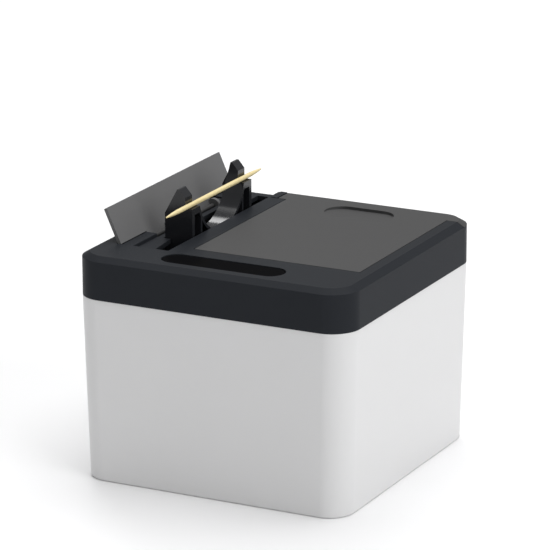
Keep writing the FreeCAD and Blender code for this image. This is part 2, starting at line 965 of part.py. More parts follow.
def toothpick(x, y, z):
    """Round toothpick along Y with a point at each end."""
    half = pick_length / 2
    shank = rod_y(x, z, y - half + pick_point, y + half - pick_point, pick_radius)
    ends = []
    for side in (-1, 1):
        start = Vec(x, y + side * (half - pick_point), z)
        ends.append(Part.makeCone(pick_radius, pick_tip_radius, pick_point, start, Vec(0, side, 0)))
    return join([shank] + ends)


def toothpick_stack():
    """Rows of toothpicks lying on the sloping floor of the hopper."""
    slope = math.radians(tray_slope_deg)
    normal = Vec(-math.sin(slope), 0, math.cos(slope))
    along = Vec(math.cos(slope), 0, math.sin(slope))
    start = rail_left + tray_wall + stack_gate_gap
    origin = Vec(start, 0, tray_floor_z(start))
    run = (tray_right - start - stack_wall_gap) / math.cos(slope)
    picks = []
    for row in range(stack_rows):
        shift = stack_pitch * (0.5 * (row % 2) + row // 2)
        count = int((run - shift) / stack_pitch) - row * stack_fewer_count
        for index in range(count):
            lift = normal * (pick_radius + stack_gap + row * stack_pitch * stack_rise_ratio)
            place = origin.add(along * (shift + index * stack_pitch)).add(lift)
            sway = stack_sway * math.sin(index * 2.4 + row)
            picks.append(toothpick(place.x, pick_y + sway, place.z))
    return group(picks)


def cap_frame():
    """Cap with its deck, flap recess, ledges, slot, rail, lid seat, hopper mouth and window pocket."""
    plug = layered([body_outline(body_height - plug_depth, body_wall + plug_clearance),
                    body_outline(body_height, body_wall + plug_clearance)])
    collar_inset = body_step + body_wall + plug_clearance + plug_wall
    solid = join([cap_block(), plug])
    hollow = layered([cap_outline(body_height - plug_depth, collar_inset + plug_taper),
                      cap_outline(body_height + plug_depth, collar_inset)])
    upper = layered([cap_outline(body_height + plug_depth, cap_wall), cap_outline(deck_z, cap_wall)])
    frame = solid.cut([hollow, upper])

    hinge_left = ledge_left - hinge_block_side
    hinge_right = ledge_right + hinge_block_side
    trench_right = channel_edge + trench_wall
    trench_box = box(recess_left - trench_wall, trench_right, front_ledge_back - trench_wall,
                     rear_ledge_front + trench_wall, trench_z - trench_wall, deck_z)
    blocks = [box(hinge_left, hinge_right, slot_front, front_ledge_back, trench_z, deck_z),
              box(hinge_left, hinge_right, rear_ledge_front, half_depth - cap_wall, trench_z, deck_z)]
    posts = [rod_z(x, y, chassis_top_z, deck_z, cap_post_radius) for x, y in cap_post_places()]
    window_posts = [rod_z(x, window_y, sensor_board_z() + board_thick, deck_z, sensor_post_radius)
                    for x in window_screw_places()]
    frame = join([frame, trench_box] + blocks + posts + window_posts)

    far = half_depth + cut_past
    over = top_z + cut_past
    under_deck = deck_z - cut_past
    removed = [box(recess_left, rail_left, slot_front, far, channel_z, over)]
    well_front = fork_front - fork_well_gap
    well_back = fork_back + fork_well_gap
    removed.append(box(well_left, rail_left, well_front, well_back, trench_z - trench_wall, top_z))
    front_left = rail_left - slot_front_width
    removed.append(prism_z([(front_left, slot_front), (rail_left, slot_front), (rail_left, well_front),
                            (rail_left - slot_fork_side_width, well_front)], under_deck, top_z))
    removed.append(box(front_left, rail_left, well_back, slot_back + slot_past_bar, under_deck, top_z))
    run_out = half_depth - recess_run_out
    run_slope = recess_run_drop / recess_run_out
    removed.append(prism_x([(run_out, channel_z), (far, channel_z - run_slope * (far - run_out)),
                            (far, over), (run_out, over)], recess_left, rail_left))
    removed.append(box(recess_left, channel_edge, front_ledge_back, rear_ledge_front, trench_z, top_z))
    rack_left = recess_left - flap_travel
    removed.append(box(rack_left, ledge_right + slider_rack_room, slider_front - slider_cut_gap,
                       rear_ledge_front, deck_z - cap_deck * 2, trench_z + slider_rack_roof))
    removed.append(box(rack_tip_x - rack_relief, well_left + sink, rack_front - rack_relief,
                       rack_front + rack_width + rack_relief, trench_z - trench_wall, rack_top_z + rack_relief))
    gear_reach = flap_gear_radius + flap_module + flap_gear_gap
    removed.append(box(hinge_x - gear_reach, hinge_x + gear_reach, flap_gear_front - flap_gear_gap,
                       flap_gear_back + flap_gear_gap, trench_z, top_z))
    removed.append(box(rail_right, lid_right, lid_front, half_depth, seat_z, over))
    removed.append(box(lug_right, half_width + cut_past, bar_front, far, seat_z, over))
    removed.append(box(mouth_left, mouth_right, mouth_front, mouth_back, under_deck, top_z))
    floor = top_z - window_recess - window_thick
    removed.append(stadium(window_x, window_y, window_length, window_width, floor, over))
    removed.append(stadium(window_x, window_y, window_length - 2 * window_ledge,
                           window_width - 2 * window_ledge, under_deck, top_z))
    pilot = small_screw_radius + thread_clearance
    for x, y in cap_post_places():
        removed.append(rod_z(x, y, chassis_top_z, chassis_top_z + small_screw_length + pilot_past, pilot))
    frame = cut(frame, removed)

    ledges = [box(ledge_left, ledge_right, slot_front, front_ledge_back, channel_z - sink, ledge_z),
              box(ledge_left, ledge_right, rear_ledge_front, flap_back, channel_z - sink, ledge_z)]
    rounded = []
    for ledge in ledges:
        edges = [e for e in ledge.Edges if abs(e.CenterOfMass.z - ledge_z) < 0.01 and
                 abs(e.Vertexes[0].Point.x - e.Vertexes[-1].Point.x) < 0.01]
        rounded.append(ledge.makeFillet(min(ledge_edge, ledge_width / 3), edges))
    lug = box(rail_left + rail_lug_inset, lug_right, bar_front, flap_back, channel_z - sink, top_z + rail_lug_rise)
    frame = join([frame, lug] + rounded)
    bore = rod_y(hinge_x, hinge_z, pin_bore_front, pin_bore_back, flap_pin_radius + flap_pin_clearance)
    pilots = [rod_z(x, window_y, sensor_board_z() + board_thick, deck_z - sensor_pilot_end, pilot)
              for x in window_screw_places()]
    return cut(frame, [bore] + pilots)


def lid_pull():
    """Shallow pill-shaped recess whose floor runs out towards the front."""
    middle_x = (rail_right + lid_right) / 2
    middle_y = half_depth - pull_from_back
    pill = stadium(middle_x, middle_y, pull_length, pull_width, top_z - pull_depth - sink, top_z + cut_past)
    front = middle_y - pull_width / 2
    back = middle_y + pull_width / 2
    low = top_z - pull_depth - cut_past
    ramp = prism_x([(front, top_z - pull_front_depth), (back, top_z - pull_depth), (back, low), (front, low)],
                   middle_x - pull_length, middle_x + pull_length)
    return pill.cut(ramp)


def hopper_lid():
    """Flat lid with a wide bar across its back and two hooked runners under its front."""
    slab = box(rail_right + lid_gap, lid_right - lid_gap, lid_front + lid_gap, bar_front + cut_past,
               lid_z, top_z)
    bar = cap_block().common(box(lug_right + lid_gap, half_width + cut_past, bar_front + lid_gap,
                                 half_depth + cut_past, lid_z, top_z))
    lid = join([slab, bar])
    hook_low = deck_z - runner_gap - runner_thick
    runners = []
    front = mouth_front + lid_gap
    back = front + runner_length
    for edge, outward in ((mouth_left + lid_gap, -1), (mouth_right - lid_gap, 1)):
        inner = edge - outward * runner_thick
        runners.append(box(min(edge, inner), max(edge, inner), front, back, hook_low, lid_z))
        lip = edge + outward * runner_lip
        runners.append(box(min(edge, lip), max(edge, lip), front, back, hook_low, hook_low + runner_thick))
    return join([lid] + runners).cut(lid_pull())


def flap():
    """Plate that covers the slot, with a middle tab and two ears for its pin, swung open."""
    outline = [(flap_free_edge, flap_front), (flap_free_edge, flap_back), (flap_side_edge, flap_back),
               (flap_side_edge, flap_tab_back), (flap_tab_edge, flap_tab_back), (flap_tab_edge, flap_tab_front),
               (flap_side_edge, flap_tab_front), (flap_side_edge, flap_front)]
    plate = prism_z(outline, flap_under_z, top_z)
    ears = []
    for start in flap_ear_places():
        disc = rod_y(hinge_x, hinge_z, start, start + flap_ear_thick, flap_ear_radius)
        ears.append(disc.common(box(-half_width, half_width, start, start + flap_ear_thick, 0,
                                   top_z - flap_ear_top_drop)))
    piece = join([plate] + ears)
    bores = [rod_y(hinge_x, hinge_z, start, start + flap_ear_thick, flap_pin_radius)
             for start in flap_ear_places()]
    return swing_open(cut(piece, bores))


def flap_ear_places():
    return [flap_tab_front + flap_ear_inset, flap_tab_back - flap_ear_thick - flap_ear_back_inset]


def swing_open(shape):
    shape.rotate(Vec(hinge_x, 0, hinge_z), Vec(0, -1, 0), flap_open_deg)
    return shape


def flap_pin():
    return rod_y(hinge_x, hinge_z, pin_bore_front + flap_pin_front_gap, pin_bore_back - flap_pin_back_gap,
                 flap_pin_radius)


def involute_flank(base_radius, from_radius, to_radius, steps):
    """Polar points (radius, angle) of an involute between two radii."""
    points = []
    for index in range(steps + 1):
        radius = from_radius + (to_radius - from_radius) * index / steps
        ratio = max(radius / base_radius, 1.0)
        roll = math.sqrt(ratio * ratio - 1)
        points.append((radius, roll - math.atan(roll)))
    return points


def gear_points(module, teeth, backlash, pressure_deg, first_angle):
    """Points of a spur gear about the origin, with a tooth's middle at first_angle."""
    pitch = module * teeth / 2
    base = pitch * math.cos(math.radians(pressure_deg))
    root = pitch - 1.2 * module
    tip = pitch + module
    at_pitch = math.sqrt((pitch / base) ** 2 - 1)
    half_tooth = math.pi / (2 * teeth) - backlash / (2 * pitch) + at_pitch - math.atan(at_pitch)
    flank = involute_flank(base, max(base, root), tip, 5)
    points = []
    for tooth in range(teeth):
        middle = first_angle + 2 * math.pi * tooth / teeth
        rising = [(radius, middle - half_tooth + turn) for radius, turn in flank]
        falling = [(radius, middle + half_tooth - turn) for radius, turn in reversed(flank)]
        if root < base:
            rising = [(root, middle - half_tooth)] + rising
            falling = falling + [(root, middle + half_tooth)]
        points += rising + falling
    return [(radius * math.cos(angle), radius * math.sin(angle)) for radius, angle in points]


def rack_points(module, first, last, backlash, pressure_deg, depth):
    """Points of a rack along one line, with a gap's middle at zero and teeth towards the second axis."""
    pitch = math.pi * module
    lean = math.tan(math.radians(pressure_deg))
    half = pitch / 4 - backlash / 2
    tip_half = half - module * 0.95 * lean
    root_half = half + module * 1.2 * lean
    points = []
    start = math.ceil((first + root_half) / pitch - 0.5)
    end = math.floor((last - root_half) / pitch - 0.5)
    for index in range(start, end + 1):
        middle = (index + 0.5) * pitch
        points.append((middle - root_half, -module * 1.2))
        points.append((middle - tip_half, module * 0.95))
        points.append((middle + tip_half, module * 0.95))
        points.append((middle + root_half, -module * 1.2))
    return [(first, -depth), (first, -module * 1.2)] + points + [(last, -module * 1.2), (last, -depth)]


def flap_gear():
    """Toothed sector pressed on the flap's pin, with teeth only where the slider's rack meets them."""
    points = gear_points(flap_module, flap_teeth, flap_backlash, drive_angle_deg, math.radians(-90))
    wheel = prism_y([(hinge_x + x, hinge_z + z) for x, z in points], flap_gear_front, flap_gear_back)
    spare = 180 / flap_teeth * 1.5
    first = -90 - spare
    count = 6
    reach = 4 * flap_gear_radius
    fan = [(hinge_x, hinge_z)]
    for index in range(count + 1):
        angle = math.radians(first + (flap_open_deg + 2 * spare) * index / count)
        fan.append((hinge_x + reach * math.cos(angle), hinge_z + reach * math.sin(angle)))
    sector = wheel.common(prism_y(fan, flap_gear_front, flap_gear_back))
    hub = rod_y(hinge_x, hinge_z, flap_gear_front, flap_gear_back, flap_hub_radius)
    bore = rod_y(hinge_x, hinge_z, flap_gear_front, flap_gear_back, flap_pin_radius)
    return join([sector, hub]).cut(bore)


def slider_slot_places():
    x = follower_x - slider_pin_side
    return [(x, chassis_top_z + slider_pin_rise), (x, slider_bracket_top_z - slider_pin_from_top)]


def flap_slider():
    """Plate with a follower in the fork's track, two guide slots and a rack under the flap's gear."""
    neck_x = follower_x - slider_neck_edge
    left = follower_x - slider_width
    top = rack_pitch_z - slider_plate_drop
    pad_left = follower_x - follower_pad_left
    pad_right = follower_x + follower_pad_right
    pad_low = follower_z - follower_pad_low
    shoulder = chassis_top_z + slider_shoulder_start
    outline = [(pad_left, pad_low), (pad_right, pad_low), (pad_right, follower_z + follower_pad_high),
               (neck_x, chassis_top_z + slider_neck_start), (neck_x, top), (left, top), (left, shoulder),
               (pad_left, shoulder)]
    plate = prism_y(outline, slider_front, slider_back)
    rack_left = hinge_x - slider_rack_left
    rack_right = hinge_x + flap_travel + slider_rack_right
    rack_low = rack_pitch_z - slider_rack_depth
    points = rack_points(flap_module, rack_left - hinge_x, rack_right - hinge_x, flap_backlash,
                         drive_angle_deg, slider_rack_depth)
    rack = prism_y([(hinge_x + x, rack_pitch_z + z) for x, z in points], flap_gear_front, flap_gear_back)
    shelf = box(rack_left, rack_right, slider_front, flap_gear_back, rack_low, rack_pitch_z - slider_shelf_top)
    follower = rod_y(follower_x, follower_z, fork_back - fork_flange + sink, slider_front,
                     follower_radius)
    slider = join([plate, rack, shelf, follower])
    slots = []
    radius = slider_guide_radius + track_clearance
    for x, z in slider_slot_places():
        slots.append(box(x, x + flap_travel, slider_front, slider_back, z - radius, z + radius))
        slots.append(rod_y(x, z, slider_front, slider_back, radius))
        slots.append(rod_y(x + flap_travel, z, slider_front, slider_back, radius))
    return cut(slider, slots)


def slider_foot_places():
    y = slider_back + slider_foot_hole_y
    return [(follower_x - slider_foot_hole_left, y), (follower_x - slider_foot_hole_right, y)]


def slider_bracket():
    """Upright behind the slider, with two headed pins that carry it."""
    front = slider_back + slider_bracket_gap
    left = follower_x - slider_bracket_left
    right = follower_x - slider_bracket_right
    foot_top = chassis_top_z + slider_foot_thick
    upright = box(left, right, front, front + slider_bracket_thick, chassis_top_z, slider_bracket_top_z)
    foot = box(left, right, front, front + slider_foot_length, chassis_top_z, foot_top)
    pins = []
    for x, z in slider_slot_places():
        pins.append(rod_y(x, z, slider_front - sink, front, slider_guide_radius))
    bracket = join([upright, foot] + pins)
    holes = [rod_z(x, y, chassis_top_z, foot_top, small_screw_radius + screw_clearance)
             for x, y in slider_foot_places()]
    return cut(bracket, holes)


def prong_profile(left, slope_start, drop):
    """Side view of a prong, as X and Z points."""
    slope_rise = fork_tip_above_shoulder - fork_notch_wall
    tip_left = notch_x - slope_rise * fork_tip_slope_ratio - fork_tip_flat
    return [(fork_right, fork_bottom), (fork_right, shoulder_z), (notch_x, shoulder_z),
            (notch_x, shoulder_z + fork_notch_wall), (tip_left + fork_tip_flat, tip_z),
            (tip_left, tip_z - drop), (left, slope_start), (left, fork_bottom)]


def fork_track():
    """Sloping slot for the slider's follower."""
    radius = follower_radius + track_clearance
    low = (follower_x, follower_z)
    high = (follower_x - flap_travel, follower_z + fork_stroke)
    front = fork_back - fork_flange - track_past
    back = fork_back
    length = math.hypot(high[0] - low[0], high[1] - low[1])
    across = (radius * (high[1] - low[1]) / length, radius * (low[0] - high[0]) / length)
    sides = [(low[0] - across[0], low[1] - across[1]), (low[0] + across[0], low[1] + across[1]),
             (high[0] + across[0], high[1] + across[1]), (high[0] - across[0], high[1] - across[1])]
    return [prism_y(sides, front, back), rod_y(low[0], low[1], front, back, radius),
            rod_y(high[0], high[1], front, back, radius)]


def lift_fork():
    """Two prongs joined by a round saddle, open from the right, on a carriage that runs in the guides."""
    wide = prong_profile(fork_left, top_z + fork_slope_start_above_top, 0)
    narrow = prong_profile(fork_body_left, shoulder_z + fork_inner_slope_start, 0)
    front_flange = prism_y(wide, fork_front, fork_front + fork_flange)
    rear_flange = prism_y(wide, fork_back - fork_flange, fork_back)
    inner_front = fork_front + fork_flange
    inner_back = fork_back - fork_flange
    middle = prism_y(narrow, inner_front, inner_back)
    left = fork_left - cut_past
    right = fork_right + cut_past
    saddle = rod_x(fork_middle, saddle_z, left, right, saddle_radius)
    above = box(left, right, fork_middle - saddle_radius, fork_middle + saddle_radius,
                saddle_z, tip_z + cut_past)
    pocket = box(fork_body_left + fork_web, right, inner_front, inner_back, fork_bottom + fork_bar,
                 shoulder_z - fork_shoulder_thick)
    kept = [rod_x(fork_middle, saddle_z, left, right, saddle_radius + saddle_strap)]
    wall_reach = saddle_radius - fork_wall_from_saddle
    for side in (-1, 1):
        edge = fork_middle + side * wall_reach
        other = edge + side * fork_inner_wall
        kept.append(box(fork_left, right, min(edge, other), max(edge, other), fork_bottom, saddle_z))
    bar_z = fork_bottom + fork_hang * fork_middle_bar_ratio
    kept.append(box(fork_left, right, inner_front, inner_back, bar_z, bar_z + fork_middle_bar))
    middle = middle.cut([saddle, above]).cut(pocket.cut(kept))
    flag = box(flag_x - flag_thick / 2, flag_x + flag_thick / 2, fork_front - flag_reach, fork_front + sink,
               flag_low_z, flag_low_z + flag_height)
    fork = join([front_flange, rear_flange, middle, flag])
    return cut(fork, fork_track())


def lift_rack():
    """Toothed strip on the left of the fork's web."""
    low = fork_bottom
    high = rack_top_z
    points = rack_points(drive_module, low - pinion_z, high - pinion_z, drive_backlash, drive_angle_deg,
                         rack_base + drive_module)
    outline = [(rack_pitch_x - depth, pinion_z + along) for along, depth in points]
    return prism_y(outline, rack_front, rack_front + rack_width)


def drive_pinion():
    points = gear_points(drive_module, drive_teeth, drive_backlash, drive_angle_deg, 0.0)
    back = pinion_front + pinion_width
    wheel = prism_y([(pinion_x + x, pinion_z + z) for x, z in points], pinion_front, back)
    bore = rod_y(pinion_x, pinion_z, pinion_front, back, shaft_radius)
    return wheel.cut(bore)


def output_shaft():
    return rod_y(pinion_x, pinion_z, bush_front(), gearbox_front + shaft_reach, shaft_radius)


def shaft_bush():
    start = bush_front()
    outer = rod_y(pinion_x, pinion_z, start, start + bush_length, bush_radius)
    return outer.cut(rod_y(pinion_x, pinion_z, start, start + bush_length, shaft_radius + bush_clearance))


def motor_section(y0, y1, shrink):
    half_x = motor_width / 2 - shrink
    half_z = motor_height / 2 - shrink
    block = box(pinion_x - half_x, pinion_x + half_x, y0, y1, pinion_z - half_z, pinion_z + half_z)
    return block.common(rod_y(pinion_x, pinion_z, y0, y1, motor_height / 2 + motor_corner_reach))


def gearbox():
    block = motor_section(gearbox_front, motor_front, 0)
    bore = rod_y(pinion_x, pinion_z, gearbox_front, gearbox_front + gearbox_bore_depth,
                 shaft_radius + bush_clearance)
    return block.cut(bore)


def motor_can():
    shell = rod_y(pinion_x, pinion_z, motor_front, motor_back - motor_cap_length, motor_height / 2)
    half = motor_width / 2
    flats = box(pinion_x - half, pinion_x + half, motor_front, motor_back, 0, top_z)
    return shell.common(flats)


def motor_end_cap():
    start = motor_back - motor_cap_length
    plate = motor_section(start, motor_back, motor_cap_step)
    hub = rod_y(pinion_x, pinion_z, motor_back, motor_back + motor_hub_length, motor_hub_radius)
    return join([plate, hub])


def bush_front():
    return pinion_front - bush_length - bush_gap


def bracket_ear_places():
    """Screw places of the motor bracket, in front of the bush and behind the motor."""
    x = pinion_x - motor_width / 2 + bracket_ear_inset
    return [(x, bush_front() - bracket_ear / 2), (x, motor_back + bracket_hub_room + bracket_ear / 2)]


def motor_bracket():
    """Cradle under the gearbox and motor, with a web that holds the shaft's bush."""
    low = pinion_z - motor_height / 2 - bracket_gap
    left = pinion_x - motor_width / 2 - bracket_gap
    right = pinion_x + motor_width / 2 + bracket_gap
    side = left - bracket_side
    web_right = fork_left - guide_gap - guide_back - bracket_guide_gap
    rear = motor_back - motor_cap_length
    cradle = box(side, right, gearbox_front, rear, low - bracket_thick, chassis_z)
    room = box(left, right, gearbox_front, rear, low, chassis_z)
    web_front = bush_front()
    web_back = web_front + bush_length
    bush_web = box(side, web_right, web_front, web_back, pinion_z - bush_radius - bracket_thick, chassis_z)
    hole = rod_y(pinion_x, pinion_z, web_front, web_back, bush_radius)
    ear_low = chassis_z - bracket_thick
    ears = [box(side, web_right, web_front - bracket_ear, web_front + sink, ear_low, chassis_z),
            box(side, web_right, rear - sink, motor_back + bracket_hub_room + bracket_ear, ear_low, chassis_z)]
    tie = box(side, left, web_front, gearbox_front + sink, pinion_z + drive_tip_radius, chassis_z)
    bracket = join([cradle.cut(room), bush_web.cut(hole), tie] + ears)
    holes = [rod_z(x, y, ear_low, chassis_z, small_screw_radius + screw_clearance)
             for x, y in bracket_ear_places()]
    return cut(bracket, holes)


def guide_foot_places():
    x = fork_left - guide_gap - guide_back - guide_foot_length / 2
    half = guide_width() / 2
    return [(x, fork_front - guide_gap - guide_cheek + half), (x, fork_back + guide_gap + guide_cheek - half)]


def guide_width():
    return fork_flange + 2 * guide_gap + 2 * guide_cheek


def lift_guide(flange_front):
    """Upright channel round the edge of one fork flange, with a foot on the chassis."""
    front = flange_front - guide_gap - guide_cheek
    back = front + guide_width()
    left = fork_left - guide_gap - guide_back
    right = fork_body_left - guide_reach_gap
    block = box(left, right, front, back, guide_bottom, guide_top)
    groove = box(fork_left - guide_gap, right, front + guide_cheek, back - guide_cheek, guide_bottom, guide_top)
    foot = box(left - guide_foot_length, left, front, back, chassis_top_z, chassis_top_z + guide_foot_thick)
    guide = join([block.cut(groove), foot])
    x = left - guide_foot_length / 2
    return guide.cut(rod_z(x, (front + back) / 2, chassis_top_z, chassis_top_z + guide_foot_thick,
                           small_screw_radius + screw_clearance))


def mechanism_screws():
    """Screws of the guides and the slider bracket, driven from above, and of the motor bracket from below."""
    length = bracket_screw_length
    pieces = [screw(x, y, chassis_top_z + guide_foot_thick, length, small_screw_radius, up=False)
              for x, y in guide_foot_places() + slider_foot_places()]
    pieces += [screw(x, y, chassis_z - bracket_thick, length, small_screw_radius)
               for x, y in bracket_ear_places()]
    return group(pieces)


def window_screw_places():
    reach = window_length / 2 - window_ledge + sensor_post_radius + sensor_post_gap
    return [window_x - reach, window_x + reach]


def sensor_board_z():
    return deck_z - sensor_board_drop


def sensor_window():
    top = top_z - window_recess
    return stadium(window_x, window_y, window_length - 2 * window_gap, window_width - 2 * window_gap,
                   top - window_thick, top)


def sensor_board():
    low = sensor_board_z()
    half_y = sensor_board_width / 2
    left = window_screw_places()[0] - sensor_board_margin
    right = window_screw_places()[1] + sensor_board_margin
    board = box(left, right, window_y - half_y, window_y + half_y, low, low + board_thick)
    holes = [rod_z(x, window_y, low, low + board_thick, small_screw_radius + screw_clearance)
             for x in window_screw_places()]
    return cut(board, holes)


def light_dome(x):
    """Small domed light part standing on the sensor board."""
    low = sensor_board_z() + board_thick
    stem_low = low + sensor_base_height
    stem_top = stem_low + sensor_stem_height
    base = rod_z(x, window_y, low, stem_low, sensor_dome_radius + sensor_dome_flange)
    stem = rod_z(x, window_y, stem_low, stem_top, sensor_dome_radius)
    dome = Part.makeSphere(sensor_dome_radius, Vec(x, window_y, stem_top))
    return join([base, stem, dome])


def window_screws():
    return group([screw(x, window_y, sensor_board_z(), window_screw_length, small_screw_radius)
                  for x in window_screw_places()])


def board_underside():
    return chassis_z - standoff_height - board_thick


def control_board():
    low = board_underside()
    board = box(control_board_left, control_board_right, control_board_front,
                control_board_front + control_board_width, low, low + board_thick)
    holes = [rod_z(x, y, low, low + board_thick, small_screw_radius + screw_clearance)
             for x, y in control_board_corners()]
    return cut(board, holes)


def control_chip():
    x = control_board_left + control_board_length * chip_along_ratio
    y = control_board_front + control_board_width / 2
    half = chip_size / 2
    z = board_underside()
    pieces = [box(x - half, x + half, y - half, y + half, z - chip_gap - chip_thick, z - chip_gap)]
    first = y - chip_leg_pitch * (chip_leg_count - 1) / 2
    for side in (-1, 1):
        inner = x + side * half
        outer = inner + side * chip_leg_reach
        for index in range(chip_leg_count):
            along = first + index * chip_leg_pitch
            pieces.append(box(min(inner, outer), max(inner, outer), along - chip_leg_width / 2,
                              along + chip_leg_width / 2, z - chip_leg_thick, z))
    return join(pieces)


def capacitor():
    x = control_board_left + capacitor_from_left
    y = control_board_front + capacitor_from_front
    z = board_underside()
    can = rod_z(x, y, z - capacitor_height, z, capacitor_radius)
    high = z - capacitor_groove_from_board
    low = high - capacitor_groove_width
    ring = rod_z(x, y, low, high, capacitor_radius + cut_past)
    return can.cut(ring.cut(rod_z(x, y, low, high, capacitor_radius - capacitor_groove_depth)))


def connector_places():
    y = control_board_front + control_board_width - connector_from_back
    run = control_board_length - connector_from_left - connector_from_right
    pitch = run / (connector_count - 1)
    return [(control_board_left + connector_from_left + pitch * index, y) for index in range(connector_count)]


def board_connectors():
    top = board_underside()
    low = top - connector_height
    half_x = connector_length / 2
    half_y = connector_width / 2
    pieces = []
    for x, y in connector_places():
        shell = box(x - half_x, x + half_x, y - half_y, y + half_y, low, top)
        mouth = box(x - half_x + connector_wall, x + half_x - connector_wall, y - half_y + connector_front_wall,
                    y + half_y - connector_wall, low, top - connector_floor)
        pieces.append(shell.cut(mouth))
    return group(pieces)


def board_screws():
    low = board_underside()
    return group([screw(x, y, low, board_screw_length, small_screw_radius)
                  for x, y in control_board_corners()])


def gate_heights():
    flag = flag_low_z + flag_height / 2
    return [flag, flag - fork_stroke]


def position_board():
    """Upright strip in front of the fork that carries the two light gates."""
    half = board_width / 2
    return box(flag_x - half, flag_x + half, gate_back_y - board_thick, gate_back_y, guide_bottom, chassis_z)


def position_gates():
    """Two forked blocks that the fork's flag passes through, at the top and the bottom of its stroke."""
    gates = []
    half = gate_width / 2
    gap = gate_slit / 2
    front = fork_front - gate_fork_gap
    for z in gate_heights():
        low = z - gate_height / 2
        high = z + gate_height / 2
        block = box(flag_x - half, flag_x + half, gate_back_y, front, low, high)
        slit = box(flag_x - gap, flag_x + gap, gate_back_y + gate_base, front, low, high)
        gates.append(block.cut(slit))
    return group(gates)


nodes = {
    "body_shell": body_shell,
    "battery_door": battery_door,
    "battery_cell_front": lambda: battery_cell(cell_places()[0]),
    "battery_cell_rear": lambda: battery_cell(cell_places()[1]),
    "contact_springs": contact_springs,
    "contact_plates": contact_plates,
    "body_screws": body_screws,
    "chassis": chassis,
    "cap_screws": cap_screws,
    "hopper_tray": hopper_tray,
    "tray_screws": tray_screws,
    "toothpick_stack": toothpick_stack,
    "cap_frame": cap_frame,
    "hopper_lid": hopper_lid,
    "flap": flap,
    "flap_pin": flap_pin,
    "flap_gear": flap_gear,
    "flap_slider": flap_slider,
    "slider_bracket": slider_bracket,
    "lift_fork": lift_fork,
    "lift_rack": lift_rack,
    "lift_guide_front": lambda: lift_guide(fork_front),
    "lift_guide_rear": lambda: lift_guide(fork_back - fork_flange),
    "drive_pinion": drive_pinion,
    "output_shaft": output_shaft,
    "shaft_bush": shaft_bush,
    "gearbox": gearbox,
    "motor_can": motor_can,
    "motor_end_cap": motor_end_cap,
    "motor_bracket": motor_bracket,
    "mechanism_screws": mechanism_screws,
    "sensor_window": sensor_window,
    "sensor_board": sensor_board,
    "light_emitter": lambda: light_dome(window_x - sensor_pitch / 2),
    "light_receiver": lambda: light_dome(window_x + sensor_pitch / 2),
    "window_screws": window_screws,
    "control_board": control_board,
    "control_chip": control_chip,
    "capacitor": capacitor,
    "board_connectors": board_connectors,
    "board_screws": board_screws,
    "position_board": position_board,
    "position_gates": position_gates,
    "lifted_toothpick": lambda: toothpick(pick_x, pick_y, pick_z),
}

for name, make in nodes.items():
    shape = make()
    print(name, len(shape.Solids), round(shape.Volume, 2), shape.isValid())
    shape.exportStep("parts/" + name + ".step")
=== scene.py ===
import json
import math

import bmesh
import bpy
from mathutils import Matrix, Vector, noise


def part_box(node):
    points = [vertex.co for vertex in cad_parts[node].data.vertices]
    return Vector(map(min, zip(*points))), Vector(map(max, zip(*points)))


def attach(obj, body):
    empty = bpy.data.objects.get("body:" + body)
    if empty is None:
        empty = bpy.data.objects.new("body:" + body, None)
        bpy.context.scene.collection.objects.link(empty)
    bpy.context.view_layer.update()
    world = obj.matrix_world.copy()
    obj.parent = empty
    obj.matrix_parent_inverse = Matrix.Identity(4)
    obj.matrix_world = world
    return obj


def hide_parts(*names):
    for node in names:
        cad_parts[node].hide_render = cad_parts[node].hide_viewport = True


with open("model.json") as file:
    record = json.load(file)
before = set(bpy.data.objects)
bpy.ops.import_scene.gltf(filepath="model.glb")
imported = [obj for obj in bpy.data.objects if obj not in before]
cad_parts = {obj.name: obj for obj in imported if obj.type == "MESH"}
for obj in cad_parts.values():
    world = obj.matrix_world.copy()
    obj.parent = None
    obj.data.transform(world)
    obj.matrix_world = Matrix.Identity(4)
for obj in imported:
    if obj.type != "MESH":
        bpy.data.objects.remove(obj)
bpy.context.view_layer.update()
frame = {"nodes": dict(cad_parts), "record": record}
mm = 0.001
scene = bpy.context.scene


class Wire:  # an output socket that sums can be written on
    def __init__(self, board, socket):
        self.board = board
        self.socket = socket

    def maths(self, operation, *values):
        return self.board.add("ShaderNodeMath", {"operation": operation}, *values)

    def __add__(self, other):
        return self.maths("ADD", self, other)

    def __sub__(self, other):
        return self.maths("SUBTRACT", self, other)

    def __mul__(self, other):
        return self.maths("MULTIPLY", self, other)

    __radd__ = __add__
    __rmul__ = __mul__


